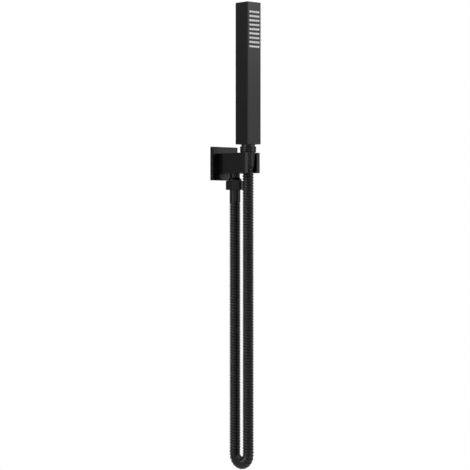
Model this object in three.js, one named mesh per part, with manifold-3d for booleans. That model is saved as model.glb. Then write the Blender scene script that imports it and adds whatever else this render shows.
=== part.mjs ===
// Handheld shower set: a square stick handset in a slotted wall outlet, joined by a metal hose.
// Millimetres, +Z up. The origin is the centre of the wall plate's back face, and the wall's
// outward direction is -Y. Every piece is a closed solid with a mesh of its own.
import * as THREE from "three";
import { mergeVertices } from "three/addons/utils/BufferGeometryUtils.js";
import Module from "manifold-3d";

// ---------- driving dimensions ----------
const GAP = 0.3; // gap between neighbouring pieces
const SIDES = 20; // facets round a turned piece
const FINE_SIDES = 12; // facets round a small one

const PLATE_SIDE = 50;
const PLATE_THICK = 6;
const ARM_SIDE = 30;
const ARM_REACH = 65.4; // front of the arm from the wall
const OUTLET_OUT = 27.3; // outlet axis from the wall
const SOCKET_OUT = 56; // socket axis from the wall
const SLOT_WIDTH = 17.7; // front slot that lets the hose out
const EDGE = 0.6; // broken edge on metal pieces

const THREAD_R = 10.3; // G1/2 outside thread
const PORT_R = THREAD_R + GAP;
const OUTLET_PORT_R = 8.6;
const WATERWAY_R = 7;
const WATERWAY_END = 36.3;

const SOCKET_TOP_R = 10.45; // tapered seat of the cone nut
const SOCKET_FOOT_R = 9.45;
const LINER_WALL = 0.8;

const HEX_FLATS = 24; // width of the hose nut across its flats
const FERRULE_R = 8.075;
const FERRULE_WALL = 0.475;
const HOSE_R = 7.6;
const HOSE_BORE_R = 6.5;
const INNER_HOSE_R = 5.8;
const INNER_HOSE_BORE_R = 4.9;
const BARB_R = 4.2;
const TAIL_BORE_R = 3.2;

const CASING_SIDE = 26.8;
const CASING_WALL = 1.8;
const CASING_CORNER = 1.1;
const CASING_FOOT = 27.3;
const CASING_TOP = 236.2;

const NOZZLE_ROWS = 9;
const NOZZLE_COLUMNS = 5;
const NOZZLE_ROW_PITCH = 6.37;
const NOZZLE_COLUMN_PITCH = 4.05;
const NOZZLE_FOOT_Z = 170.6; // height of the lowest row
const NOZZLE_R = 1.65;
const NOZZLE_TIP_R = 1.3;
const NOZZLE_PROUD = 0.9; // how far a nozzle stands out of the casing

// Middle line of the hose, as [distance from the wall, height], from the outlet to the handset.
const HOSE_ROUTE = [
  [27.3, -59], [27.3, -110], [27.3, -170], [27.3, -230], [27.3, -290], [27.3, -350],
  [27.3, -400], [27.3, -420], [27.3, -430.3], [28.4, -435.8], [31.5, -440.4], [36.2, -443.6],
  [41.65, -444.65], [47.1, -443.6], [51.8, -440.4], [54.9, -435.8], [56, -430.3], [56, -420],
  [56, -400], [56, -350], [56, -290], [56, -230], [56, -170], [56, -110], [56, -60], [56, -25],
  [56, -3.9],
];

// ---------- solids ----------
const wasm = await Module();
wasm.setup();

// A closed geometry as a solid that can be cut and joined.
function solid(geometry) {
  const bare = geometry.clone();
  bare.deleteAttribute("normal");
  bare.deleteAttribute("uv");
  const merged = mergeVertices(bare, 1e-4);
  const triVerts = new Uint32Array(merged.index.array);
  const vertProperties = new Float32Array(merged.attributes.position.array);
  const made = new wasm.Manifold(new wasm.Mesh({ numProp: 3, vertProperties, triVerts }));
  if (made.volume() > 0) return made;
  return new wasm.Manifold(new wasm.Mesh({ numProp: 3, vertProperties, triVerts: triVerts.reverse() }));
}

// A solid as a geometry with flat facets.
function facets(made) {
  const mesh = made.getMesh();
  const geometry = new THREE.BufferGeometry();
  geometry.setAttribute("position", new THREE.BufferAttribute(mesh.vertProperties, 3));
  geometry.setIndex(new THREE.BufferAttribute(mesh.triVerts, 1));
  return geometry.toNonIndexed();
}

// A piece turned about Z, from the [radius, height] points of its outline.
function turned(outline, sides = SIDES) {
  const points = outline.map(([radius, height]) => new THREE.Vector2(radius, height));
  if (points[0].x > 0) points.push(points[0].clone());
  const geometry = new THREE.LatheGeometry(points, sides);
  geometry.rotateX(Math.PI / 2);
  return solid(geometry);
}

const rod = (radius, low, high, sides) =>
  turned([[0, low], [radius, low], [radius, high], [0, high]], sides);

const pipe = (bore, radius, low, high, sides) =>
  turned([[bore, low], [radius, low], [radius, high], [bore, high]], sides);

// A round-section ring of rubber.
function sealRing(radius, wire, height) {
  const circle = [...Array(6).keys()].map((i) => {
    const angle = (i * Math.PI) / 3;
    return [radius + wire * Math.cos(angle), height + wire * Math.sin(angle)];
  });
  return turned(circle, SIDES);
}

function block(width, depth, height, x, y, z) {
  const geometry = new THREE.BoxGeometry(width, depth, height);
  geometry.translate(x, y, z);
  return solid(geometry);
}

function roundedSquare(side, corner) {
  const half = side / 2;
  const shape = new THREE.Shape();
  shape.moveTo(-half + corner, -half);
  shape.lineTo(half - corner, -half);
  shape.absarc(half - corner, -half + corner, corner, -Math.PI / 2, 0);
  shape.absarc(half - corner, half - corner, corner, 0, Math.PI / 2);
  shape.absarc(-half + corner, half - corner, corner, Math.PI / 2, Math.PI);
  shape.absarc(-half + corner, -half + corner, corner, Math.PI, Math.PI * 1.5);
  return shape;
}

// A square bar along Z. Its broken edge, where it has one, is inside the side and the length.
function bar(side, corner, low, high, edge = 0) {
  const geometry = new THREE.ExtrudeGeometry(roundedSquare(side - 2 * edge, corner), {
    depth: high - low - 2 * edge,
    bevelEnabled: edge > 0,
    bevelThickness: edge,
    bevelSize: edge,
    bevelSegments: 1,
    curveSegments: 3,
  });
  geometry.translate(0, 0, low + edge);
  return solid(geometry);
}

// ---------- materials ----------
function finish(color, roughness, metalness) {
  return new THREE.MeshStandardMaterial({ color, roughness, metalness });
}
const MATT_BLACK = finish(0x1c1c1e, 0.45, 0.4);
const BLACK_PLASTIC = finish(0x18181a, 0.5, 0);
const BRASS = finish(0xb59350, 0.35, 1);
const STEEL = finish(0xb8bbbf, 0.3, 1);
const RUBBER = finish(0x151515, 0.85, 0);
const SILICONE = finish(0xe6e7e8, 0.6, 0);
const WHITE_PLASTIC = finish(0xe2e0da, 0.5, 0);

// ---------- where the pieces stand ----------
const showerSet = new THREE.Group();
const wallLine = new THREE.Group(); // its Z runs out of the wall, its Y up
wallLine.rotation.x = Math.PI / 2;
const outletLine = new THREE.Group();
outletLine.position.y = -OUTLET_OUT;
const socketLine = new THREE.Group();
socketLine.position.y = -SOCKET_OUT;
showerSet.add(wallLine, outletLine, socketLine);

function place(group, name, made, material) {
  const mesh = new THREE.Mesh(facets(made), material);
  mesh.name = name;
  group.add(mesh);
}

// ---------- on the wall ----------
const GASKET_IN_R = 18;
const GASKET_OUT_R = 22;
const GASKET_DEPTH = 1.4;

function wallPlate() {
  const whole = bar(PLATE_SIDE, EDGE, -EDGE, PLATE_THICK, EDGE);
  const behind = block(PLATE_SIDE + 2, PLATE_SIDE + 2, 2, 0, 0, -1);
  const groove = pipe(GASKET_IN_R - GAP, GASKET_OUT_R + GAP, -1, GASKET_DEPTH + GAP);
  const hole = rod(PORT_R, -1, PLATE_THICK + 1);
  return whole.subtract(behind).subtract(groove).subtract(hole);
}

const NIPPLE_BACK = -16;
const NIPPLE_FRONT = 18.3;
const NIPPLE_BORE_R = 6.3;
const NIPPLE_KEY_R = 7.5; // corners of the hexagon that an installer's key turns
const NIPPLE_GROOVE_R = 8.3;
const NIPPLE_SEAL_OUT = 8.4;
const NIPPLE_SEAL_WIRE = 0.8; // half the thickness of the seal's ring

function inletNipple() {
  const chamfer = 0.9;
  const made = turned([
    [NIPPLE_BORE_R, NIPPLE_BACK],
    [THREAD_R - chamfer, NIPPLE_BACK],
    [THREAD_R, NIPPLE_BACK + chamfer],
    [THREAD_R, NIPPLE_SEAL_OUT - 1.2],
    [NIPPLE_GROOVE_R, NIPPLE_SEAL_OUT - 1.2],
    [NIPPLE_GROOVE_R, NIPPLE_SEAL_OUT + 1.2],
    [THREAD_R, NIPPLE_SEAL_OUT + 1.2],
    [THREAD_R, NIPPLE_FRONT - chamfer],
    [THREAD_R - chamfer, NIPPLE_FRONT],
    [NIPPLE_BORE_R, NIPPLE_FRONT],
  ]);
  return made.subtract(rod(NIPPLE_KEY_R, NIPPLE_BACK - 1, NIPPLE_BACK + 8, 6));
}

const GRUB_OUT = 13.2; // grub screw axis from the wall
const GRUB_R = 2.5;

function grubScrew() {
  const screw = rod(GRUB_R, -14.6, -THREAD_R - GAP, FINE_SIDES);
  return screw.subtract(rod(1.45, -15, -12.8, 6));
}

// Wall of the socket at a height, for a surface that stands off the cone nut's seat.
function socketCone(standOff) {
  const reach = ARM_SIDE / 2 + 1;
  const slope = (SOCKET_TOP_R - SOCKET_FOOT_R) / ARM_SIDE;
  const middle = (SOCKET_TOP_R + SOCKET_FOOT_R) / 2 + standOff;
  return turned([
    [0, -reach],
    [middle - slope * reach, -reach],
    [middle + slope * reach, reach],
    [0, reach],
  ]);
}

const socketSlot = () => block(SLOT_WIDTH, 20, ARM_SIDE + 4, 0, -10, 0);

function bracketBody() {
  const back = PLATE_THICK + GAP;
  const arm = bar(ARM_SIDE, EDGE, back, ARM_REACH, EDGE)
    .subtract(rod(PORT_R, back - 1, NIPPLE_FRONT + GAP))
    .subtract(rod(WATERWAY_R, NIPPLE_FRONT, WATERWAY_END))
    .rotate([90, 0, 0]);
  const grubHole = rod(GRUB_R + GAP, -16, -9, FINE_SIDES).translate([0, -GRUB_OUT, 0]);
  const outletPort = rod(OUTLET_PORT_R, -16, 0).translate([0, -OUTLET_OUT, 0]);
  const socket = socketCone(LINER_WALL + GAP).add(socketSlot()).translate([0, -SOCKET_OUT, 0]);
  return arm.subtract(grubHole).subtract(outletPort).subtract(socket);
}

function holderLiner() {
  const layer = block(ARM_SIDE, ARM_SIDE, ARM_SIDE - 2 * GAP, 0, 0, 0);
  const shell = socketCone(LINER_WALL).subtract(socketCone(0)).intersect(layer);
  return shell.subtract(socketSlot());
}

place(wallLine, "wall_plate", wallPlate(), MATT_BLACK);
place(wallLine, "plate_gasket", pipe(GASKET_IN_R, GASKET_OUT_R, 0, GASKET_DEPTH), RUBBER);
place(wallLine, "inlet_nipple", inletNipple(), BRASS);
const nippleSealR = NIPPLE_GROOVE_R + NIPPLE_SEAL_WIRE + GAP;
const nippleSeal = sealRing(nippleSealR, NIPPLE_SEAL_WIRE, NIPPLE_SEAL_OUT);
place(wallLine, "nipple_o_ring", nippleSeal, RUBBER);
place(showerSet, "bracket_body", bracketBody(), MATT_BLACK);
place(showerSet, "grub_screw", grubScrew().translate([0, -GRUB_OUT, 0]), STEEL);
place(socketLine, "holder_liner", holderLiner(), BLACK_PLASTIC);

// ---------- outlet and its check valve ----------
const SPIGOT_TOP = -6.7;
const SPIGOT_FOOT = -33.6;
const NECK_R = 7.1;
const NECK_FOOT = -20.6;
const SHOULDER_FOOT = -25.9; // foot of the dome between the neck and the lower thread
const VALVE_R = 5.5;
const VALVE_TOP = -16.3;
const VALVE_FOOT = -31.5;
const SPIGOT_SEAL_Z = -8.9;
const SPIGOT_GROOVE_R = 6.8;
const SPIGOT_SEAL_WIRE = 0.5;

function outletSpigot() {
  const bore = VALVE_R + GAP;
  const stop = 4.4; // the valve's cage stops against this narrower bore
  const thread = OUTLET_PORT_R - GAP;
  const groove = SPIGOT_GROOVE_R;
  const grooveTop = SPIGOT_SEAL_Z + 0.9;
  const grooveFoot = SPIGOT_SEAL_Z - 0.9;
  const dome = [[7.6, NECK_FOOT - 0.5], [8.9, -22.9], [9.7, -24.4], [THREAD_R, SHOULDER_FOOT]];
  return turned([
    [stop, SPIGOT_TOP], [thread, SPIGOT_TOP], [thread, grooveTop], [groove, grooveTop],
    [groove, grooveFoot], [thread, grooveFoot], [thread, -14.6], [NECK_R, -14.6],
    [NECK_R, NECK_FOOT], ...dome,
    [THREAD_R, SPIGOT_FOOT + 0.8], [THREAD_R - 0.8, SPIGOT_FOOT], [bore, SPIGOT_FOOT],
    [bore, VALVE_TOP + GAP], [stop, VALVE_TOP + GAP],
  ]);
}

// A cage with a seat at its top and a guide for the poppet's stem on three ribs.
function checkValveBody() {
  const inner = VALVE_R - 0.8;
  const seatHole = 3;
  const cage = turned([
    [seatHole, VALVE_TOP], [VALVE_R, VALVE_TOP], [VALVE_R, VALVE_FOOT],
    [inner, VALVE_FOOT], [inner, VALVE_TOP - 1.3], [seatHole, VALVE_TOP - 1.3],
  ], FINE_SIDES);
  const ribs = [0, 120, 240].map((turn) =>
    block(0.9, inner - 1.4, 3, 0, (inner + 1.6) / 2, -29.3).rotate([0, 0, turn]));
  const guide = pipe(1.2, 2, -31, -27.5, FINE_SIDES);
  return ribs.reduce((made, rib) => made.add(rib), cage.add(guide));
}

const checkValvePoppet = () =>
  turned([
    [0, -17.2], [1.8, -17.2], [1.8, -17.6], [1.1, -17.6], [1.1, -19], [3.6, -19],
    [3.6, -20], [0.85, -20], [0.85, -29], [0, -29],
  ], FINE_SIDES);

class Helix extends THREE.Curve {
  constructor(radius, low, high, turns) {
    super();
    Object.assign(this, { radius, low, high, turns });
  }
  getPoint(t, target = new THREE.Vector3()) {
    const angle = 2 * Math.PI * this.turns * t;
    const height = THREE.MathUtils.lerp(this.low, this.high, t);
    return target.set(this.radius * Math.cos(angle), this.radius * Math.sin(angle), height);
  }
}

// A shape carried along a curve, with a ring of the shape at each step.
function swept(shape, curve, steps) {
  return solid(new THREE.ExtrudeGeometry(shape, { extrudePath: curve, steps, curveSegments: 6 }));
}

function polygon(radius, sides) {
  const corners = [...Array(sides).keys()].map((i) => {
    const angle = (2 * Math.PI * i) / sides;
    return new THREE.Vector2(radius * Math.cos(angle), radius * Math.sin(angle));
  });
  return new THREE.Shape(corners);
}

const checkValveSeal = () => pipe(1.4, 3.9, -18.7, -17.9, FINE_SIDES);

function checkValveSpring() {
  const turns = 4.5;
  return swept(polygon(0.3, 5), new Helix(2.4, -27.1, -20.4, turns), turns * 10);
}

place(outletLine, "outlet_spigot", outletSpigot(), MATT_BLACK);
const spigotSealR = SPIGOT_GROOVE_R + SPIGOT_SEAL_WIRE + GAP;
const spigotSeal = sealRing(spigotSealR, SPIGOT_SEAL_WIRE, SPIGOT_SEAL_Z);
place(outletLine, "spigot_o_ring", spigotSeal, RUBBER);
place(outletLine, "check_valve_body", checkValveBody(), WHITE_PLASTIC);
place(outletLine, "check_valve_poppet", checkValvePoppet(), WHITE_PLASTIC);
place(outletLine, "check_valve_seal", checkValveSeal(), RUBBER);
place(outletLine, "check_valve_spring", checkValveSpring(), STEEL);

// ---------- hose ----------
const NUT_TOP = SHOULDER_FOOT - GAP;
const NUT_FOOT = -39;
const NUT_LIP = 1.3; // lip that holds the tail's flange
const FLANGE_R = 9.2;
const WASHER_BORE_R = 4.6;
const TAIL_FACE = -35.5; // top of the outlet tail's flange
const OUTLET_FERRULE_FOOT = -58.7;
const HANDSET_FERRULE_FOOT = -3.6;
const HANDSET_FERRULE_TOP = 9.4;

// A hexagon nut with its corners turned off to a cone at both ends.
function outletNut() {
  const corner = HEX_FLATS / Math.sqrt(3);
  const turnedOff = 1.2;
  const cone = turned([
    [0, NUT_TOP], [corner - 2 * turnedOff, NUT_TOP], [corner + 0.2, NUT_TOP - turnedOff],
    [corner + 0.2, NUT_FOOT + EDGE], [corner - 2 * EDGE, NUT_FOOT], [0, NUT_FOOT],
  ]);
  return rod(corner, NUT_FOOT, NUT_TOP, 6)
    .intersect(cone)
    .subtract(rod(PORT_R, SPIGOT_FOOT - GAP, NUT_TOP + 1))
    .subtract(rod(FLANGE_R + GAP, NUT_FOOT + NUT_LIP, SPIGOT_FOOT))
    .subtract(rod(NECK_R + GAP, NUT_FOOT - 1, SPIGOT_FOOT));
}

// The metal end of the hose: a flange that the nut draws up, a neck and a barb in the inner hose.
function hoseTail(flangeR, faces) {
  const { face, flangeFoot, neckFoot, barbFoot } = faces;
  return turned([
    [TAIL_BORE_R, face], [flangeR, face], [flangeR, flangeFoot], [NECK_R, flangeFoot],
    [NECK_R, neckFoot], [BARB_R, neckFoot], [BARB_R, barbFoot], [TAIL_BORE_R, barbFoot],
  ]);
}

const ferrule = (low, high) => pipe(FERRULE_R - FERRULE_WALL, FERRULE_R, low, high);

// A curve that is stepped from point to point, so its straights stay light and its bend round.
class RouteCurve extends THREE.CatmullRomCurve3 {
  getUtoTmapping(u) {
    return u;
  }
}

const HOSE_SIDES = 8;

function hoseTube(radius, bore, route) {
  const section = polygon(radius, HOSE_SIDES);
  section.holes.push(polygon(bore, HOSE_SIDES));
  const points = route.map(([out, height]) => new THREE.Vector3(0, -out, height));
  return swept(section, new RouteCurve(points), points.length - 1);
}

// The inner hose reaches further than the jacket, over the barbs at both ends.
function innerRoute() {
  const middle = HOSE_ROUTE.slice(1, -1);
  return [[OUTLET_OUT, -43], ...middle, [SOCKET_OUT, 5.5]];
}

const outletTail = () =>
  hoseTail(FLANGE_R, { face: TAIL_FACE, flangeFoot: -37.4, neckFoot: -41.5, barbFoot: -56 });
const handsetTail = () =>
  hoseTail(8.7, { face: 13.7, flangeFoot: 11, neckFoot: 7, barbFoot: -6 });

place(outletLine, "outlet_nut", outletNut(), MATT_BLACK);
const outletWasher = pipe(WASHER_BORE_R, FLANGE_R, TAIL_FACE + GAP, SPIGOT_FOOT - GAP);
place(outletLine, "outlet_washer", outletWasher, RUBBER);
place(outletLine, "outlet_tail", outletTail(), BRASS);
const outletFerrule = ferrule(OUTLET_FERRULE_FOOT, NUT_FOOT - GAP);
place(outletLine, "outlet_ferrule", outletFerrule, MATT_BLACK);
place(showerSet, "hose_jacket", hoseTube(HOSE_R, HOSE_BORE_R, HOSE_ROUTE), MATT_BLACK);
const innerHose = hoseTube(INNER_HOSE_R, INNER_HOSE_BORE_R, innerRoute());
place(showerSet, "hose_liner", innerHose, RUBBER);
const handsetFerrule = ferrule(HANDSET_FERRULE_FOOT, HANDSET_FERRULE_TOP);
place(socketLine, "handset_ferrule", handsetFerrule, STEEL);
place(socketLine, "handset_tail", handsetTail(), BRASS);

// ---------- handset ----------
const COLLAR_R = 10.15;
const FILTER_FOOT = 14;
const FILTER_TOP = 16;
const LIMITER_FOOT = 17;
const LIMITER_TOP = 20.5;
const CONNECTOR_FOOT = 16.3;
const PLUG_TOP = 36.3;
const SOCKET_BORE_R = 4.7; // sockets that the water tube's ends push into
const TUBE_R = 4.3;
const TUBE_BORE_R = 2.7;
const CHAMBER_FOOT = 162;
const CHAMBER_TOP = 230;
const TUBE_FOOT = 37.4;
const TUBE_TOP = CHAMBER_FOOT - GAP;
const TUBE_SEAL_IN = 3.8; // middle of each seal from the tube's end
const INNER_SIDE = CASING_SIDE - 2 * CASING_WALL;

function coneNut() {
  const mouth = HOSE_R + 0.35;
  const lip = 8.3;
  const outside = [
    [lip, -8.6], [8.8, -6.7], [9.3, -5], [9.5, -3.5], [10, 12], [10, 15.3],
    [11.4, 15.3], [11.9, 15.7], [11.9, 23.5], [11.5, 24.2],
  ];
  const inside = [
    [10.5, 24.2], [10.5, FILTER_TOP], [9.3, FILTER_TOP], [9.3, 10.7], [8.4, 10.7], [8.4, -4],
    [mouth, -4], [mouth, -8.6],
  ];
  return turned([...outside, ...inside]);
}

// A square plug that closes the casing's foot, with the threaded collar under it.
function inletConnector() {
  const plugSide = INNER_SIDE - 2 * GAP;
  return rod(COLLAR_R, CONNECTOR_FOOT, CASING_FOOT + 1)
    .add(bar(plugSide, 0.6, CASING_FOOT, PLUG_TOP))
    .add(rod(6.4, PLUG_TOP - 1, 46))
    .subtract(rod(6, CONNECTOR_FOOT - 1, 30))
    .subtract(rod(3.4, 29, 38))
    .subtract(rod(SOCKET_BORE_R, 37, 47));
}

// A tube with a groove near each end for its seal.
function waterTube() {
  const foot = TUBE_FOOT;
  const top = TUBE_TOP;
  const groove = 3.4;
  const near = TUBE_SEAL_IN - 0.8; // the groove's sides, from the tube's end
  const far = TUBE_SEAL_IN + 0.8;
  return turned([
    [TUBE_BORE_R, foot], [TUBE_R, foot], [TUBE_R, foot + near], [groove, foot + near],
    [groove, foot + far], [TUBE_R, foot + far], [TUBE_R, top - far], [groove, top - far],
    [groove, top - near], [TUBE_R, top - near], [TUBE_R, top], [TUBE_BORE_R, top],
  ], FINE_SIDES);
}

// Small seal that fits the water tube's grooves.
function tubeSeal(height) {
  return turned([
    [3.7, height - 0.4], [4.3, height - 0.4], [4.5, height], [4.3, height + 0.4],
    [3.7, height + 0.4],
  ], FINE_SIDES);
}

const MAT_BACK = -10.1;
const MAT_FRONT = -11.3;

// A tray behind the nozzle mat, open to the front, with a socket for the water tube under it.
function sprayChamber() {
  const side = INNER_SIDE - 0.8;
  const wall = 1.2;
  const back = 5.5;
  const front = MAT_BACK + GAP;
  const height = CHAMBER_TOP - CHAMBER_FOOT;
  const middle = (CHAMBER_TOP + CHAMBER_FOOT) / 2;
  const outer = block(side, back - front, height, 0, (back + front) / 2, middle);
  const hollow = block(side - 2 * wall, 13, height - 2 * wall, 0, back - wall - 6.5, middle);
  const mouth = block(side - 2 * wall, 4, height - 2 * wall, 0, front, middle);
  return outer
    .add(pipe(SOCKET_BORE_R, 6, 152, CHAMBER_FOOT + 0.5, FINE_SIDES))
    .subtract(hollow)
    .subtract(mouth)
    .subtract(rod(3.4, CHAMBER_FOOT - 1, CHAMBER_FOOT + 2, FINE_SIDES));
}

// The [x, height] centre of every nozzle.
function nozzleCentres() {
  const centres = [];
  for (let row = 0; row < NOZZLE_ROWS; row++) {
    for (let column = 0; column < NOZZLE_COLUMNS; column++) {
      const x = (column - (NOZZLE_COLUMNS - 1) / 2) * NOZZLE_COLUMN_PITCH;
      centres.push([x, NOZZLE_FOOT_Z + row * NOZZLE_ROW_PITCH]);
    }
  }
  return centres;
}

const NOZZLE_SIDES = 6;
const FACE = -CASING_SIDE / 2;

// One flexible sheet with all the nozzles standing on it.
function nozzleMat() {
  const low = 163.5;
  const high = 228.5;
  const thick = MAT_BACK - MAT_FRONT;
  const middle = (MAT_BACK + MAT_FRONT) / 2;
  const sheet = block(INNER_SIDE - 0.8, thick, high - low, 0, middle, (high + low) / 2);
  const tip = -FACE + NOZZLE_PROUD;
  const nozzle = turned([
    [0, -middle], [NOZZLE_R, -middle], [NOZZLE_R, tip - 0.4], [NOZZLE_TIP_R, tip], [0, tip],
  ], NOZZLE_SIDES).rotate([90, 0, 0]);
  return nozzleCentres().reduce((made, [x, z]) => made.add(nozzle.translate([x, 0, z])), sheet);
}

function casing() {
  const tube = bar(CASING_SIDE, CASING_CORNER, CASING_FOOT, CASING_TOP)
    .subtract(bar(INNER_SIDE, 0.5, CASING_FOOT - 1, CASING_TOP + 1));
  const hole = rod(NOZZLE_R + GAP, -FACE - 5, -FACE + 2, NOZZLE_SIDES).rotate([90, 0, 0]);
  return nozzleCentres().reduce((made, [x, z]) => made.subtract(hole.translate([x, 0, z])), tube);
}

function topCap() {
  const side = INNER_SIDE - 2 * GAP;
  const skirt = 1.4;
  return bar(side, 0.6, 231, CASING_TOP).subtract(bar(side - 2 * skirt, 0.4, 230, 234.4));
}

place(socketLine, "cone_nut", coneNut(), MATT_BLACK);
const filterWasher = pipe(WASHER_BORE_R, 9, FILTER_FOOT, FILTER_TOP);
place(socketLine, "filter_washer", filterWasher, RUBBER);
const flowLimiter = pipe(1.6, 5.6, LIMITER_FOOT, LIMITER_TOP);
place(socketLine, "flow_limiter", flowLimiter, WHITE_PLASTIC);
place(socketLine, "inlet_connector", inletConnector(), BLACK_PLASTIC);
place(socketLine, "lower_tube_seal", tubeSeal(TUBE_FOOT + TUBE_SEAL_IN), RUBBER);
place(socketLine, "water_tube", waterTube(), WHITE_PLASTIC);
place(socketLine, "upper_tube_seal", tubeSeal(TUBE_TOP - TUBE_SEAL_IN), RUBBER);
place(socketLine, "spray_chamber", sprayChamber(), WHITE_PLASTIC);
place(socketLine, "nozzle_mat", nozzleMat(), SILICONE);
place(socketLine, "casing", casing(), MATT_BLACK);
place(socketLine, "top_cap", topCap(), MATT_BLACK);

export default showerSet;
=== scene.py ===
import math

import bpy
import numpy as np
from mathutils import Matrix, Vector


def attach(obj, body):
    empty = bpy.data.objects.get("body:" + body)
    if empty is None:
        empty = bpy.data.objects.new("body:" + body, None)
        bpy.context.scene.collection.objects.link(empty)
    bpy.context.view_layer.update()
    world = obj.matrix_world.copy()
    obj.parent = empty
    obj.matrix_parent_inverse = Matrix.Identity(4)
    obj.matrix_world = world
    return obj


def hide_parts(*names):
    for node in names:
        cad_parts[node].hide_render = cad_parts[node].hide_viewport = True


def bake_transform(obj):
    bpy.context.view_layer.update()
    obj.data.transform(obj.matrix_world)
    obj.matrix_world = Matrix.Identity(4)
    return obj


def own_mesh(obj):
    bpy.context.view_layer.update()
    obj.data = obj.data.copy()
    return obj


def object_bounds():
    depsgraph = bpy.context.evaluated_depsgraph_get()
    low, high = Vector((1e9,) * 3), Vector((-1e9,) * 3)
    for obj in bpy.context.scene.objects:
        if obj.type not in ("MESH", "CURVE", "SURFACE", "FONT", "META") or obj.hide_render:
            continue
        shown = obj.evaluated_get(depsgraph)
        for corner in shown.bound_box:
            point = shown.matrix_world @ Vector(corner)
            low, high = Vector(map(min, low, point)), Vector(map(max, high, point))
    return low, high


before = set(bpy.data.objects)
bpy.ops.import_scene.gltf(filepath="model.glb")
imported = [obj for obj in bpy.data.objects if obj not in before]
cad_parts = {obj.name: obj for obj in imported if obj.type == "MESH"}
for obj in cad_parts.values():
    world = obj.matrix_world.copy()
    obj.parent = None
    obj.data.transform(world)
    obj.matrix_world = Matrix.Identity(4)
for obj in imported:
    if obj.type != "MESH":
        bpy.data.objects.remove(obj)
cad_low, cad_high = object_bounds()
scene = bpy.context.scene

# ======== Camera ========
# A long lens on a level camera, to the left of the front and about 0.1 m below the arm. It is
# level, so every upright edge stays upright.
AZIMUTH = math.radians(-42.4)
CAMERA_OFF = 2.85  # metres from the point it looks at
LOOKS_AT = Vector((0.01566, -0.01017, -0.1063))
SENSOR_WIDTH = 36  # millimetres, as the lens is
FOCAL_LENGTH = 145.7

camera = bpy.data.objects.new("camera", bpy.data.cameras.new("camera"))
camera.data.sensor_width = SENSOR_WIDTH
camera.data.lens = FOCAL_LENGTH
towards_camera = Vector((math.sin(AZIMUTH), -math.cos(AZIMUTH), 0))
camera.location = LOOKS_AT + CAMERA_OFF * towards_camera
camera.rotation_euler = (-towards_camera).to_track_quat("-Z", "Y").to_euler()
scene.collection.objects.link(camera)
scene.camera = camera

# ======== Hose ========
# A stainless strip wound into a ribbed jacket and coated matt black, over a rubber inner hose.
# Its two ends are crimped in ferrules; it hangs from the outlet in one narrow loop.
MM = 0.001
HOSE_ROUTE = [  # distance from the wall and height, in millimetres
    (27.3, -59), (27.3, -110), (27.3, -170), (27.3, -230), (27.3, -290), (27.3, -350),
    (27.3, -400), (27.3, -420), (27.3, -430.3), (28.4, -435.8), (31.5, -440.4), (36.2, -443.6),
    (41.65, -444.65), (47.1, -443.6), (51.8, -440.4), (54.9, -435.8), (56, -430.3), (56, -420),
    (56, -400), (56, -350), (56, -290), (56, -230), (56, -170), (56, -110), (56, -60), (56, -25),
    (56, -3.9),
]
CURVE_STEPS = 60  # between two points of a route
HOSE_SIDES = 32
HOSE_CREST_R = 8.3
HOSE_BORE_R = 6.5
RIB_PITCH = 4.18
RIB_DEPTH = 1.5
RINGS_PER_RIB = 10
HOSE_IN_NUT = 6  # length at the handset end that is pressed down to fit in the cone nut
HOSE_IN_NUT_R = 7.8
INNER_HOSE_SIDES = 24
INNER_HOSE_R = 5.8
INNER_HOSE_BORE_R = 4.9
INNER_HOSE_STEP = 3
INNER_HOSE_TOP, INNER_HOSE_END = -43, 5.5  # over the tails' barbs, past the jacket's two ends
GRAINS_PER_CLOUD = 30


def linear(hex_colour):
    """An sRGB hex colour as the linear colour that a shader takes."""
    parts = [int(hex_colour[i : i + 2], 16) / 255 for i in (1, 3, 5)]
    return [p / 12.92 if p <= 0.04045 else ((p + 0.055) / 1.055) ** 2.4 for p in parts] + [1]


def add_node(material, kind, links=(), **settings):
    """Adds a node. Settings name its properties or sockets; links give (socket, source output)."""
    node = material.node_tree.nodes.new(kind)
    for name, value in settings.items():
        if hasattr(node, name):
            setattr(node, name, value)
        else:
            node.inputs[name.replace("_", " ")].default_value = value
    for socket, source in links:
        material.node_tree.links.new(source, node.inputs[socket])
    return node


def new_material(name, hex_colour, roughness, **settings):
    """A material whose shader has the colour, the roughness and the constants given."""
    material = bpy.data.materials.new(name)
    material.use_nodes = True
    shader = material.node_tree.nodes["Principled BSDF"]
    shader.inputs["Base Color"].default_value = linear(hex_colour)
    shader.inputs["Roughness"].default_value = roughness
    for socket, value in settings.items():
        shader.inputs[socket.replace("_", " ")].default_value = value
    return material, shader


def roughen(material, shader, grain, height, low, high):
    """Gives a surface a fine grain of that width and height in mm, and an uneven roughness.

    The roughness drifts from low to high in clouds, whose factor is returned for tint().
    """
    place = add_node(material, "ShaderNodeTexCoord").outputs["Object"]
    grains = add_node(
        material, "ShaderNodeTexNoise", [("Vector", place)], Scale=1 / (grain * MM), Detail=3
    )
    bump = add_node(
        material, "ShaderNodeBump", [("Height", grains.outputs["Fac"])], Distance=height * MM
    )
    cloud_scale = 1 / (GRAINS_PER_CLOUD * grain * MM)
    clouds = add_node(
        material, "ShaderNodeTexNoise", [("Vector", place)], Scale=cloud_scale, Detail=4
    )
    sheen = add_node(
        material, "ShaderNodeMapRange", [("Value", clouds.outputs["Fac"])], To_Min=low, To_Max=high
    )
    material.node_tree.links.new(bump.outputs["Normal"], shader.inputs["Normal"])
    material.node_tree.links.new(sheen.outputs["Result"], shader.inputs["Roughness"])
    return clouds.outputs["Fac"]


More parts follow.
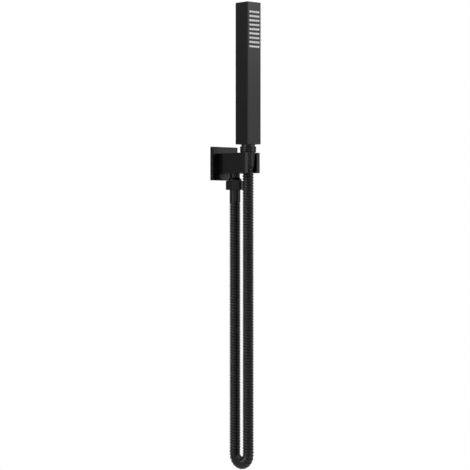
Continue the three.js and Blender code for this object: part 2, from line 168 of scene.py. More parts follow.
def tint(material, shader, factor, dark, light):
    """Lets the colour drift between two hex colours with a factor."""
    mix = add_node(material, "ShaderNodeMix", data_type="RGBA")
    # The node has a set of sockets for each kind of data, so the colour ones go by number.
    mix_factor, first_colour, second_colour, mixed_colour = 0, 6, 7, 2
    mix.inputs[first_colour].default_value = linear(dark)
    mix.inputs[second_colour].default_value = linear(light)
    material.node_tree.links.new(factor, mix.inputs[mix_factor])
    material.node_tree.links.new(mix.outputs[mixed_colour], shader.inputs["Base Color"])


# Matt black electro-coat on metal: a near-black film with a soft, even sheen and the faintest
# orange peel. Its waves are about 0.5 mm wide, too fine to show, so they are drawn at 0.8 mm.
black_coat, shader = new_material("black_coat_on_metal", "#040404", 0.27, IOR=1.4)
drift = roughen(black_coat, shader, grain=0.8, height=0.006, low=0.24, high=0.3)
tint(black_coat, shader, drift, "#030303", "#060606")

# Black hose rubber: dull, with a talc bloom.
black_rubber, shader = new_material("black_rubber", "#121212", 0.8, IOR=1.52)
drift = roughen(black_rubber, shader, grain=0.6, height=0.02, low=0.7, high=0.9)
tint(black_rubber, shader, drift, "#0c0c0c", "#1a1a19")


def new_piece(name, points, faces, material):
    """A mesh object from points in millimetres. Its prefix sets it apart from the CAD node."""
    mesh = bpy.data.meshes.new(name)
    mesh.from_pydata((np.asarray(points, float) * MM).tolist(), [], faces)
    mesh.materials.append(material)
    piece = bpy.data.objects.new("piece_" + name, mesh)
    scene.collection.objects.link(piece)
    return piece


def ring_faces(rings, around, closed=False):
    """Quads between rings that hold the same number of points."""
    ring, point = np.meshgrid(np.arange(rings if closed else rings - 1), np.arange(around))
    after, beside = (ring + 1) % rings, (point + 1) % around
    corners = (ring, point), (after, point), (after, beside), (ring, beside)
    return np.stack([a * around + b for a, b in corners], -1).reshape(-1, 4).tolist()


def smooth(piece, angle=35):
    """Smooth shading, with the edges sharper than an angle kept sharp."""
    piece.data.shade_smooth()
    piece.data.set_sharp_from_angle(angle=math.radians(angle))


def stands_for(node):
    """The piece takes the place of a CAD node, which is hidden."""
    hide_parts(node)


def belongs(piece, body, node):
    """The piece moves with a body, besides what stands_for() says."""
    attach(piece, body)
    stands_for(node)


def smooth_line(route, step):
    """Points at an even step along the round curve through the route, and how far along each is."""
    knots = np.array([(0, -out, height) for out, height in route], float)
    ends = np.vstack([2 * knots[0] - knots[1], knots, 2 * knots[-1] - knots[-2]])
    dense = []
    for a, b, c, d in zip(ends, ends[1:], ends[2:], ends[3:]):
        ab, bc, cd = (np.linalg.norm(q - p) for p, q in ((a, b), (b, c), (c, d)))
        out_b = bc * ((b - a) / ab * bc + (c - b) / bc * ab) / (ab + bc)
        into_c = bc * ((c - b) / bc * cd + (d - c) / cd * bc) / (bc + cd)
        t = np.linspace(0, 1, CURVE_STEPS, endpoint=False)[:, None]
        dense.append(
            (2 * t**3 - 3 * t**2 + 1) * b
            + (t**3 - 2 * t**2 + t) * out_b
            + (3 * t**2 - 2 * t**3) * c
            + (t**3 - t**2) * into_c
        )
    dense = np.vstack([*dense, knots[-1:]])
    run = np.concatenate([[0], np.cumsum(np.linalg.norm(np.diff(dense, axis=0), axis=1))])
    along = np.linspace(0, run[-1], round(run[-1] / step) + 1)
    return np.column_stack([np.interp(along, run, dense[:, i]) for i in range(3)]), along


def hose_tube(name, route, step, around, outer, bore, material):
    """A tube along a route, its outer radius a function of place along and round it.

    Returns the tube, its middle line, and how far along that line each of its points is.
    """
    line, along = smooth_line(route, step)
    forward = np.gradient(line, axis=0)
    forward /= np.linalg.norm(forward, axis=1)[:, None]
    across = np.array([1.0, 0, 0])  # square to the upright plane that the route keeps to
    up = np.cross(forward, across)
    turn = np.linspace(0, 2 * np.pi, around, endpoint=False)
    spokes = across * np.cos(turn)[None, :, None] + up[:, None, :] * np.sin(turn)[None, :, None]
    skin = line[:, None, :] + spokes * outer(along[:, None], turn[None, :])[:, :, None]
    # The bore has no ribs and takes one ring in ten, from the far end back to the start.
    inside = np.arange(len(line) - 1, -1, -RINGS_PER_RIB)
    inside = np.append(inside, 0) if inside[-1] else inside
    lining = line[inside, None, :] + spokes[inside] * bore
    points = np.vstack([skin, lining]).reshape(-1, 3)
    rings = len(line) + len(inside)
    tube = new_piece(name, points, ring_faces(rings, around, closed=True), material)
    tube.data.shade_smooth()
    return tube, line, np.concatenate([along, along[inside]]).repeat(around)


def hang_between(tube):
    """Bakes the tube's placement into its mesh, so that it hangs as drawn."""
    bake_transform(tube)


def ribbed(along, turn):
    """Radius of the wound strip: a round rib with a narrow groove, rising as a right-hand screw."""
    phase = np.pi * (along / RIB_PITCH - turn / (2 * np.pi))
    ridge = HOSE_CREST_R - RIB_DEPTH * np.cos(phase) ** 4
    return np.where(along > along.max() - HOSE_IN_NUT, np.minimum(ridge, HOSE_IN_NUT_R), ridge)


def plain(along, turn):
    """Radius of the inner hose, the same all over."""
    return np.full(np.broadcast(along, turn).shape, INNER_HOSE_R)


rib_step = RIB_PITCH / RINGS_PER_RIB
hose_jacket, hose_line, jacket_along = hose_tube(
    "hose_jacket", HOSE_ROUTE, rib_step, HOSE_SIDES, ribbed, HOSE_BORE_R, black_coat
)
hang_between(hose_jacket)
stands_for("hose_jacket")

outlet_out, socket_out = HOSE_ROUTE[0][0], HOSE_ROUTE[-1][0]
inner_route = [(outlet_out, INNER_HOSE_TOP), *HOSE_ROUTE[1:-1], (socket_out, INNER_HOSE_END)]
hose_liner, liner_line, liner_along = hose_tube(
    "hose_liner",
    inner_route,
    INNER_HOSE_STEP,
    INNER_HOSE_SIDES,
    plain,
    INNER_HOSE_BORE_R,
    black_rubber,
)
hang_between(hose_liner)
stands_for("hose_liner")

# ======== Wall plate ========
# A square brass cover plate, cast, ground flat and coated matt black. The arm's thread clamps it
# to the wall, and a rubber gasket in a groove behind it keeps water out.
GAP = 0.3  # between a thread, ring or screw and its hole
PLATE_SIDE = 50
PLATE_THICK = 6
PLATE_CORNER = 0.6
PLATE_EDGE, PLATE_BACK_EDGE = 0.5, 0.25
THREAD_R = 10.3
GASKET_IN_R = 18
GASKET_OUT_R = 22
GASKET_DEPTH = 1.4
GASKET_EDGE = 0.3
EDGE_STEPS = 5
MOST_OF_SIDE = 0.49  # the share of a side that a rounded corner may take
PAST = 1  # how far a cutter runs past the face that it cuts through


def rounded(corners, closed=True, steps=5):
    """An outline whose corners (x, y, radius) are rounded off."""
    made = []
    for i, (x, y, *radius) in enumerate(corners):
        here = Vector((x, y))
        before = Vector(corners[i - 1][:2])
        after = Vector(corners[(i + 1) % len(corners)][:2])
        end = not closed and i in (0, len(corners) - 1)
        if end or not radius or not radius[0]:
            made.append((x, y))
            continue
        back, ahead = (before - here).normalized(), (after - here).normalized()
        half = back.angle(ahead) / 2
        shortest = min((before - here).length, (after - here).length)
        reach = min(radius[0] / math.tan(half), MOST_OF_SIDE * shortest)
        size = reach * math.tan(half)
        centre = here + (back + ahead).normalized() * (size / math.sin(half))
        first, last = here + back * reach - centre, here + ahead * reach - centre
        sweep = first.angle_signed(last)
        for step in range(steps + 1):
            angle = -sweep * step / steps
            cos, sin = math.cos(angle), math.sin(angle)
            made.append(
                (centre.x + first.x * cos - first.y * sin, centre.y + first.x * sin + first.y * cos)
            )
    return made


def square_outline(side, corner):
    """A square about the origin with rounded corners, anticlockwise."""
    half = side / 2
    turns = ((-1, -1), (1, -1), (1, 1), (-1, 1))
    return rounded([(half * x, half * y, corner) for x, y in turns])


def square_bar(name, rings, material, closed=False):
    """Rings of rounded squares (side, corner radius, height), joined up and capped."""
    outlines = [square_outline(side, corner) for side, corner, _ in rings]
    around = len(outlines[0])
    points = [(x, y, ring[2]) for ring, line in zip(rings, outlines) for x, y in line]
    faces = ring_faces(len(rings), around, closed)
    if not closed:
        last = (len(rings) - 1) * around
        faces += [list(range(around)), list(range(last + around - 1, last - 1, -1))]
    return new_piece(name, points, faces, material)


def edge_rings(side, corner, height, edge, up):
    """The rings of a square end whose edge is rounded: up=1 at a bar's top and -1 at its foot.

    A positive edge rounds an outside and a negative one the mouth of a hole.
    """
    made = []
    for angle in np.radians(np.linspace(0, 90, EDGE_STEPS)):
        drawn_in = edge * (1 - math.cos(angle))
        height_here = height + up * abs(edge) * (math.sin(angle) - 1)
        made.append((side - 2 * drawn_in, corner - drawn_in, height_here))
    return made if up > 0 else made[::-1]


def turned(name, outline, material, sides=64, steps=4):
    """A piece turned about Z from an outline of (radius, height, rounding).

    An outline that starts on the axis gives a solid piece, and any other a ring.
    """
    line = rounded(outline, closed=outline[0][0] > 0, steps=steps)
    on_axis = line[0][0] == 0
    turn = np.linspace(0, 2 * np.pi, sides, endpoint=False)
    if on_axis:
        line = line[1:-1]
    points = [(r * math.cos(a), r * math.sin(a), z) for r, z in line for a in turn]
    faces = ring_faces(len(line), sides, closed=not on_axis)
    if on_axis:
        last = (len(line) - 1) * sides
        faces += [list(range(sides)), list(range(last + sides - 1, last - 1, -1))]
    return new_piece(name, points, faces, material)


def pipe(name, bore, radius, low, high, edge, material, sides=64):
    """A plain tube round Z with rounded edges, or a solid bar where its bore is 0."""
    corners = [(bore, low, edge), (radius, low, edge), (radius, high, edge), (bore, high, edge)]
    return turned(name, corners, material, sides)


def settle(piece):
    """Makes the modified mesh the piece's own."""
    graph = bpy.context.evaluated_depsgraph_get()
    made = bpy.data.meshes.new_from_object(piece.evaluated_get(graph))
    piece.modifiers.clear()
    piece.data = made


def face_out(piece):
    """Turns a closed mesh's faces outwards."""
    mesh = piece.data
    mesh.calc_loop_triangles()
    corners = np.array([[mesh.vertices[i].co for i in t.vertices] for t in mesh.loop_triangles])
    volume = np.einsum("ij,ij->i", corners[:, 0], np.cross(corners[:, 1], corners[:, 2])).sum()
    if volume < 0:
        mesh.flip_normals()


def carve(piece, *cutters, operation="DIFFERENCE"):
    """Cuts other solids from a piece, or joins them to it, and removes them."""
    face_out(piece)
    for cutter in cutters:
        face_out(cutter)
        modifier = piece.modifiers.new("carve", "BOOLEAN")
        modifier.operation, modifier.object, modifier.solver = operation, cutter, "EXACT"
        settle(piece)
        bpy.data.objects.remove(cutter)


def lay(piece, turn_x=0.0, move=(0, 0, 0)):
    """Turns a piece about X by degrees and moves it by millimetres, in its mesh."""
    turned_by = Matrix.Rotation(math.radians(turn_x), 4, "X")
    piece.data.transform(Matrix.Translation(Vector(move) * MM) @ turned_by)
    return piece


def shade_flats(piece, angle=35):
    """Smooth shading that keeps large flat faces flat up to their rounded edges."""
    face_out(piece)
    smooth(piece, angle)
    modifier = piece.modifiers.new("flats", "WEIGHTED_NORMAL")
    modifier.keep_sharp = True
    modifier.weight = 100


plate_rings = [
    *edge_rings(PLATE_SIDE, PLATE_CORNER, 0, PLATE_BACK_EDGE, up=-1),
    *edge_rings(PLATE_SIDE, PLATE_CORNER, PLATE_THICK, PLATE_EDGE, up=1),
]
wall_plate = square_bar("wall_plate", plate_rings, black_coat)
carve(
    wall_plate,
    pipe(
        "groove", GASKET_IN_R - GAP, GASKET_OUT_R + GAP, -PAST, GASKET_DEPTH + GAP, 0, black_coat
    ),
    pipe("hole", 0, THREAD_R + GAP, -PAST, PLATE_THICK + PAST, 0, black_coat),
)
lay(wall_plate, turn_x=90)
shade_flats(wall_plate)
belongs(wall_plate, "wall_outlet", "wall_plate")

plate_gasket = pipe(
    "plate_gasket", GASKET_IN_R, GASKET_OUT_R, 0, GASKET_DEPTH, GASKET_EDGE, black_rubber
)
lay(plate_gasket, turn_x=90)
smooth(plate_gasket)
belongs(plate_gasket, "wall_outlet", "plate_gasket")

# ======== Inlet nipple ========
# A G1/2 brass nipple, turned and threaded from bar. It screws into the pipe in the wall with a
# hexagon key from its wall end, and the arm slides over its other end and its O-ring.
THREAD_PITCH = 1.814
THREAD_DEPTH = 1.0
THREAD_SLOPE, THREAD_CREST = 1.35, 0.2  # how steep its sides are and how wide its crest is
THREAD_START, THREAD_STOP = -15, 6.6
THREAD_STEPS = 8  # for each turn
ROD_SIDES = 64
ROD_CHAMFER = 0.9
NIPPLE_LOW, NIPPLE_HIGH = -16, 18.3
NIPPLE_BORE_R = 6.3
NIPPLE_KEY_R = 7.5
NIPPLE_KEY_DEPTH = 8
O_RING_OUT = 8.4  # its middle, from the wall
O_RING_GROOVE, O_RING_GROOVE_R = 2.4, 8.3  # the groove's width and its radius
HEXAGON = 6

# Turned brass: yellow, with fine bright rings round the axis from the tool. They are 0.1 mm
# apart, too fine to show, so they are drawn 0.4 mm apart.
brass, shader = new_material("turned_brass", "#c9a457", 0.3, Metallic=1)
drift = roughen(brass, shader, grain=0.4, height=0.006, low=0.24, high=0.38)
tint(brass, shader, drift, "#b8934a", "#d2b06a")


def threaded_rod(name, low, high, radius, material, start, stop, groove):
    """A rod with a right-hand thread from start to stop, and a groove of (middle, width, radius)."""
    heights = np.arange(low, high, THREAD_PITCH / THREAD_STEPS)
    heights = np.append(heights, high)[:, None]
    turn = np.linspace(0, 2 * np.pi, ROD_SIDES, endpoint=False)[None, :]
    phase = np.abs((heights / THREAD_PITCH - turn / (2 * np.pi)) % 1 - 0.5) * 2
    fade = np.clip(np.minimum(heights - start, stop - heights) / THREAD_PITCH, 0, 1)
    depth = THREAD_DEPTH * fade * np.clip(THREAD_SLOPE * phase - THREAD_CREST, 0, 1)
    from_end = np.minimum(heights - low, high - heights)
    chamfer = np.clip(ROD_CHAMFER - from_end, 0, ROD_CHAMFER)
    middle, width, bottom = groove
    in_groove = np.abs(heights - middle) < width / 2
    made = np.where(in_groove, bottom, radius - np.maximum(depth, chamfer))
    x, y = made * np.cos(turn), made * np.sin(turn)
    points = np.stack([x, y, heights + 0 * turn], -1).reshape(-1, 3)
    last = len(points) - ROD_SIDES
    faces = ring_faces(len(heights), ROD_SIDES)
    faces += [list(range(ROD_SIDES)), list(range(last + ROD_SIDES - 1, last - 1, -1))]
    return new_piece(name, points, faces, material)


inlet_nipple = threaded_rod(
    "inlet_nipple",
    NIPPLE_LOW,
    NIPPLE_HIGH,
    THREAD_R,
    brass,
    THREAD_START,
    THREAD_STOP,
    groove=(O_RING_OUT, O_RING_GROOVE, O_RING_GROOVE_R),
)
nipple_end, key_top = NIPPLE_LOW - PAST, NIPPLE_LOW + NIPPLE_KEY_DEPTH
carve(
    inlet_nipple,
    pipe("bore", 0, NIPPLE_BORE_R, nipple_end, NIPPLE_HIGH + PAST, 0, brass),
    pipe("key", 0, NIPPLE_KEY_R, nipple_end, key_top, 0, brass, HEXAGON),
)
lay(inlet_nipple, turn_x=90)
smooth(inlet_nipple)
belongs(inlet_nipple, "wall_outlet", "inlet_nipple")

# ======== Bracket ========
# The arm, outlet and handset socket in one square brass casting, milled flat, its edges broken,
# and coated as the plate is. The front slot lets the hose out of the socket.
ARM_SIDE = 30
ARM_BACK, ARM_FRONT = 6.3, 65.4  # from the wall
ARM_EDGE = 0.4
ARM_CORNER = 0.5
OUTLET_OUT = 27.3  # the axes of the outlet, the socket and the grub screw, from the wall
SOCKET_OUT = 56
GRUB_OUT = 13.2
SLOT_WIDTH = 17.7
SEAT_TOP_R, SEAT_FOOT_R = 10.45, 9.45
ARC_POINTS = 49
LINER_WALL = 0.8
GRUB_R = 2.5
GRUB_HOLE_TOP = -9
GRUB_SIDES = 32
PORT_R = THREAD_R + GAP
PORT_BACK, PORT_END = 5, 18.6  # from the wall
PORT_CHAMFER = 0.5
WATERWAY_R = 7
WATERWAY_START, WATERWAY_END = 18, 36.3
UNDER_ARM = -16  # just below its underside


def lofted(name, outlines, material):
    """Outlines (points, height) joined up along Z and capped."""
    around = len(outlines[0][0])
    points = [(x, y, height) for outline, height in outlines for x, y in outline]
    last = (len(outlines) - 1) * around
    faces = ring_faces(len(outlines), around)
    faces += [list(range(around)), list(range(last + around - 1, last - 1, -1))]
    return new_piece(name, points, faces, material)


def inset(outline, amount):
    """A closed outline drawn in by an amount, square to its sides."""
    points = np.array(outline)
    ahead = np.roll(points, -1, 0) - points
    ahead /= np.linalg.norm(ahead, axis=1)[:, None]
    behind = np.roll(ahead, 1, 0)
    normals = np.column_stack([-ahead[:, 1], ahead[:, 0]])
    before = np.column_stack([-behind[:, 1], behind[:, 0]])
    middle = (normals + before) / (1 + (normals * before).sum(1))[:, None]
    return (points + amount * middle).tolist()


def arc(radius, start, stop, steps):
    """Points of a circle about the socket axis; angles in degrees."""
    return [
        (radius * math.cos(a), radius * math.sin(a))
        for a in np.radians(np.linspace(start, stop, steps))
    ]


def bracket_plan(socket_r):
    """The arm seen from above, anticlockwise, with the slotted socket round the axis at (0, 0)."""
    half, slot = ARM_SIDE / 2, SLOT_WIDTH / 2
    back, front = SOCKET_OUT - ARM_BACK, SOCKET_OUT - ARM_FRONT
    mouth = math.degrees(math.acos(slot / socket_r))
    ring = arc(socket_r, -mouth, 180 + mouth, ARC_POINTS)
    return rounded(
        [
            (-half, front, ARM_CORNER),
            (-slot, front, ARM_CORNER),
            *ring[::-1],
            (slot, front, ARM_CORNER),
            (half, front, ARM_CORNER),
            (half, back, ARM_CORNER),
            (-half, back, ARM_CORNER),
        ]
    )


def seat_radius(height, stand_off):
    """Radius of the cone's tapered seat at a height, plus how far a surface stands off it."""
    share = (height + ARM_SIDE / 2) / ARM_SIDE
    return SEAT_FOOT_R + (SEAT_TOP_R - SEAT_FOOT_R) * share + stand_off


levels = []
for up in (-1, 1):
    for angle in np.radians(np.linspace(90, 0, EDGE_STEPS))[:: -up]:
        height = up * (ARM_SIDE / 2 - ARM_EDGE * (1 - math.sin(angle)))
        plan = bracket_plan(seat_radius(height, LINER_WALL + GAP))
        levels.append((inset(plan, ARM_EDGE * (1 - math.cos(angle))), height))
bracket_body = lofted("bracket_body", levels, black_coat)
lay(bracket_body, move=(0, -SOCKET_OUT, 0))
port = turned(
    "port",
    [
        (0, PORT_BACK),
        (PORT_R + PORT_CHAMFER, PORT_BACK),
        (PORT_R + PORT_CHAMFER, ARM_BACK),
        (PORT_R, ARM_BACK + PORT_CHAMFER),
        (PORT_R, PORT_END),
        (0, PORT_END),
    ],
    black_coat,
)
waterway = pipe("waterway", 0, WATERWAY_R, WATERWAY_START, WATERWAY_END, 0, black_coat)
outlet_port = turned(
    "outlet_port",
    [(0, UNDER_ARM), (9.4, UNDER_ARM), (9.1, -15), (8.6, -14.5), (8.6, 0), (0, 0)],
    black_coat,
)
grub_hole = pipe("grub_hole", 0, GRUB_R + GAP, UNDER_ARM, GRUB_HOLE_TOP, 0, black_coat, GRUB_SIDES)
carve(
    bracket_body,
    lay(port, turn_x=90),
    lay(waterway, turn_x=90),
    lay(outlet_port, move=(0, -OUTLET_OUT, 0)),
    lay(grub_hole, move=(0, -GRUB_OUT, 0)),
)
shade_flats(bracket_body)
belongs(bracket_body, "wall_outlet", "bracket_body")

# ======== Grub screw ========
# A hardened steel set screw with a hexagon key hole, up through the arm's underside. It bears on
# the nipple and holds the arm to the wall.
GRUB_FOOT, GRUB_TOP = -14.6, -10.6
GRUB_CHAMFER = 0.3
GRUB_POINT_R, GRUB_POINT = 1.4, 1  # the cone point's flat and its height
GRUB_KEY_R, GRUB_KEY_TOP = 1.45, -12.8

# Blackened steel: dark grey with a soft, slightly oily sheen.
dark_steel, shader = new_material("blackened_steel", "#3a3b3d", 0.35, Metallic=1)
drift = roughen(dark_steel, shader, grain=0.5, height=0.006, low=0.3, high=0.42)
tint(dark_steel, shader, drift, "#303134", "#45464a")

grub_outline = [
    (0, GRUB_FOOT),
    (GRUB_R - GRUB_CHAMFER, GRUB_FOOT),
    (GRUB_R, GRUB_FOOT + GRUB_CHAMFER),
    (GRUB_R, GRUB_TOP - GRUB_POINT),
    (GRUB_POINT_R, GRUB_TOP),
    (0, GRUB_TOP),
]
grub_screw = turned("grub_screw", grub_outline, dark_steel, GRUB_SIDES)
carve(
    grub_screw, pipe("key", 0, GRUB_KEY_R, GRUB_FOOT - PAST, GRUB_KEY_TOP, 0, dark_steel, HEXAGON)
)
lay(grub_screw, move=(0, -GRUB_OUT, 0))
smooth(grub_screw)
belongs(grub_screw, "wall_outlet", "grub_screw")

# ======== Socket liner ========
# A thin moulded acetal sleeve, slotted as the socket is. It keeps the cone nut's coating from
# rubbing on the casting.
LINER_HALF = 14.7  # half its height
LINER_LEVELS = 9

# Black acetal: a moulded plastic with a waxy, even sheen.
black_acetal, shader = new_material("black_acetal", "#0c0c0d", 0.42, IOR=1.48)
drift = roughen(black_acetal, shader, grain=0.7, height=0.006, low=0.38, high=0.48)
tint(black_acetal, shader, drift, "#0a0a0b", "#0f0f10")


def liner_plan(height):
    """A thick arc with its ends cut parallel to the slot's sides."""
    slot = SLOT_WIDTH / 2
    inner, outer = seat_radius(height, 0), seat_radius(height, LINER_WALL)
    outer_mouth = math.degrees(math.acos(slot / outer))
    inner_mouth = math.degrees(math.acos(slot / inner))
    return [
        *arc(outer, -outer_mouth, 180 + outer_mouth, ARC_POINTS),
        *arc(inner, 180 + inner_mouth, -inner_mouth, ARC_POINTS),
    ]


liner_heights = np.linspace(-LINER_HALF, LINER_HALF, LINER_LEVELS)
holder_liner = lofted(
    "holder_liner", [(liner_plan(height), height) for height in liner_heights], black_acetal
)
lay(holder_liner, move=(0, -SOCKET_OUT, 0))
shade_flats(holder_liner)
belongs(holder_liner, "wall_outlet", "holder_liner")

# ======== Outlet ========
# A turned brass spigot, coated as the arm is. It screws up into the arm's underside, holds the
# check valve, and carries the thread that the hose's hexagon nut draws up on.
SPIGOT_TOP, SPIGOT_FOOT = -6.7, -33.6
SPIGOT_R, SPIGOT_BORE_R = 8.3, 4.4
RING_GROOVE_TOP, RING_GROOVE_FOOT, RING_GROOVE_R = -8, -9.8, 6.8
NECK_TOP, NECK_R = -14.6, 7.4
VALVE_TOP, VALVE_BORE_R = -16, 5.8
SPIGOT_OUTLINE = [
    (SPIGOT_BORE_R, SPIGOT_TOP, 0.2),
    (SPIGOT_R, SPIGOT_TOP, 0.4),
    (SPIGOT_R, RING_GROOVE_TOP),
    (RING_GROOVE_R, RING_GROOVE_TOP),
    (RING_GROOVE_R, RING_GROOVE_FOOT),
    (SPIGOT_R, RING_GROOVE_FOOT),
    (SPIGOT_R, NECK_TOP),
    (NECK_R, NECK_TOP, 0.2),
    (NECK_R, -20.9, 0.3),
    (THREAD_R, -24.8, 0.4),
    (THREAD_R, SPIGOT_FOOT + 0.8),
    (THREAD_R - 0.8, SPIGOT_FOOT),
    (VALVE_BORE_R, SPIGOT_FOOT, 0.2),
    (VALVE_BORE_R, VALVE_TOP),
    (SPIGOT_BORE_R, VALVE_TOP),
]
outlet_spigot = turned("outlet_spigot", SPIGOT_OUTLINE, black_coat)
lay(outlet_spigot, move=(0, -OUTLET_OUT, 0))
shade_flats(outlet_spigot)
belongs(outlet_spigot, "wall_outlet", "outlet_spigot")

# ======== Hose nut ========
# A brass hexagon nut, about 24 mm across its flats, turned and coated black. Its lip draws the
# hose's flange and washer up to the spigot.
HEX_FLATS = 24.3
CORNER = HEX_FLATS / math.sqrt(3)
NUT_TOP, NUT_FOOT = -25.9, -39.3
NUT_CORNER_R = 0.5
NUT_MOUTH_R = 7.4
FLANGE_FOOT, FLANGE_TOP, FLANGE_BORE_R = -37.7, -33.9, 9.5
NUT_CHAMFER = 0.5
TURNING_SIDES = 96

hexagon = rounded(
    [
        (CORNER * math.cos(a), CORNER * math.sin(a), NUT_CORNER_R)
        for a in np.radians(np.arange(30, 390, 60))
    ]
)
outlet_nut = lofted("outlet_nut", [(hexagon, NUT_FOOT), (hexagon, NUT_TOP)], black_coat)
turned_off = turned(
    "turned_off",
    [
        (0, NUT_FOOT),
        (CORNER - 0.7, NUT_FOOT),
        (CORNER + 0.2, NUT_FOOT + 0.4),
        (CORNER + 0.2, NUT_TOP - 0.9),
        (CORNER - 1.7, NUT_TOP),
        (0, NUT_TOP),
    ],
    black_coat,
    TURNING_SIDES,
)
carve(outlet_nut, turned_off, operation="INTERSECT")
nut_bore = turned(
    "nut_bore",
    [
        (0, NUT_FOOT - PAST),
        (NUT_MOUTH_R, NUT_FOOT - PAST),
        (NUT_MOUTH_R, FLANGE_FOOT),
        (FLANGE_BORE_R, FLANGE_FOOT),
        (FLANGE_BORE_R, FLANGE_TOP),
        (PORT_R, FLANGE_TOP),
        (PORT_R, NUT_TOP - NUT_CHAMFER),
        (PORT_R + NUT_CHAMFER, NUT_TOP),
        (PORT_R + NUT_CHAMFER, NUT_TOP + PAST),
        (0, NUT_TOP + PAST),
    ],
    black_coat,
)
carve(outlet_nut, nut_bore)
lay(outlet_nut, move=(0, -OUTLET_OUT, 0))
shade_flats(outlet_nut, angle=25)
belongs(outlet_nut, "wall_outlet", "outlet_nut")

# ======== Ferrules ========
# A thin drawn tube crimped over each end of the hose. The outlet's is coated black, with a collar
# that reaches up into the hexagon nut. The handset's is bare steel, inside the cone nut: it stays
# in CAD form.
FERRULE_R, FERRULE_BORE_R = 8.075, 7.75
FERRULE_FOOT, FERRULE_TOP = -58.7, -39.4
FERRULE_WALL_FOOT = -39.9  # the underside of its top
FERRULE_COLLAR_R, FERRULE_COLLAR_BORE_R, FERRULE_COLLAR_TOP = 7.3, 7.15, -38.5
outlet_ferrule = turned(
    "outlet_ferrule",
    [
        (FERRULE_BORE_R, FERRULE_FOOT, 0.1),
        (FERRULE_R, FERRULE_FOOT, 0.25),
        (FERRULE_R, FERRULE_TOP, 0.3),
        (FERRULE_COLLAR_R, FERRULE_TOP),
        (FERRULE_COLLAR_R, FERRULE_COLLAR_TOP, 0.05),
        (FERRULE_COLLAR_BORE_R, FERRULE_COLLAR_TOP),
        (FERRULE_COLLAR_BORE_R, FERRULE_WALL_FOOT),
        (FERRULE_BORE_R, FERRULE_WALL_FOOT),
    ],
    black_coat,
)
lay(outlet_ferrule, move=(0, -OUTLET_OUT, 0))
shade_flats(outlet_ferrule)
belongs(outlet_ferrule, "wall_outlet", "outlet_ferrule")

# ======== Cone nut ========
# A turned brass nut, coated black: a long cone that seats in the socket, under a head with two
# shallow grip rings. Screwed to the handset, it holds the hose's flange, which turns in it.
CONE_FOOT, CONE_MOUTH_R = -8.6, 7.95
HEAD_FOOT, HEAD_TOP = 15.3, 24.2
CONE_OUTLINE = [
    (CONE_MOUTH_R, CONE_FOOT, 0.1),
    (8.3, CONE_FOOT, 0.2),
    (8.9, -6.5, 3),
    (9.35, -4.6, 3),
    (9.55, -2, 4),
    (10, 12, 0.5),
    (10, HEAD_FOOT, 0.2),
    (11.5, HEAD_FOOT, 0.3),
    (11.9, 17.2, 1.5),
    (11.75, 18.3, 1),
    (12.0, 19.7, 1.5),
    (11.85, 21.3, 1),
    (12.15, 22.7, 1),
    (11.9, HEAD_TOP, 0.4),
    (10.5, HEAD_TOP, 0.2),
    (10.5, 16),
    (9.3, 16),
    (9.3, 10.7),
    (8.4, 10.7),
    (8.4, -4),
    (CONE_MOUTH_R, -4),
]
cone_nut = turned("cone_nut", CONE_OUTLINE, black_coat, TURNING_SIDES)
lay(cone_nut, move=(0, -SOCKET_OUT, 0))
shade_flats(cone_nut)
belongs(cone_nut, "handset", "cone_nut")

# ======== Inlet connector ========
# A moulded ABS plug that closes the casing's foot. Its collar below takes the cone nut, and its
# socket above takes the water tube.
COLLAR_R = 10.15
COLLAR_FOOT, PLUG_FOOT, PLUG_TOP = 16.3, 27.3, 36.3
PLUG_SIDE, PLUG_CORNER, PLUG_EDGE = 22.6, 0.7, 0.3
TUBE_SOCKET_R, TUBE_SOCKET_TOP = 6.4, 46
INLET_R, THROAT_R, TUBE_BORE_R = 6, 3.4, 4.7
THROAT_FOOT, THROAT_TOP = 30, 37

# Black ABS: a moulded plastic, spark-eroded in the mould to a fine, even matt.
black_abs, shader = new_material("black_moulded_abs", "#0e0e0f", 0.45, IOR=1.54)
drift = roughen(black_abs, shader, grain=0.7, height=0.01, low=0.4, high=0.5)
tint(black_abs, shader, drift, "#0c0c0d", "#111112")

plug_rings = [
    *edge_rings(PLUG_SIDE, PLUG_CORNER, PLUG_FOOT, PLUG_EDGE, up=-1),
    *edge_rings(PLUG_SIDE, PLUG_CORNER, PLUG_TOP, PLUG_EDGE, up=1),
]
inlet_connector = square_bar("inlet_connector", plug_rings, black_abs)
collar = pipe("collar", 0, COLLAR_R, COLLAR_FOOT, PLUG_FOOT + PAST, 0, black_abs)
tube_socket = pipe(
    "tube_socket", 0, TUBE_SOCKET_R, PLUG_TOP - PAST, TUBE_SOCKET_TOP, 0, black_abs
)
carve(inlet_connector, collar, tube_socket, operation="UNION")
carve(
    inlet_connector,
    pipe("inlet", 0, INLET_R, COLLAR_FOOT - PAST, THROAT_FOOT, 0, black_abs),
    pipe("throat", 0, THROAT_R, THROAT_FOOT - PAST, THROAT_TOP + PAST, 0, black_abs),
    pipe("tube_bore", 0, TUBE_BORE_R, THROAT_TOP, TUBE_SOCKET_TOP + PAST, 0, black_abs),
)
lay(inlet_connector, move=(0, -SOCKET_OUT, 0))
shade_flats(inlet_connector)
belongs(inlet_connector, "handset", "inlet_connector")

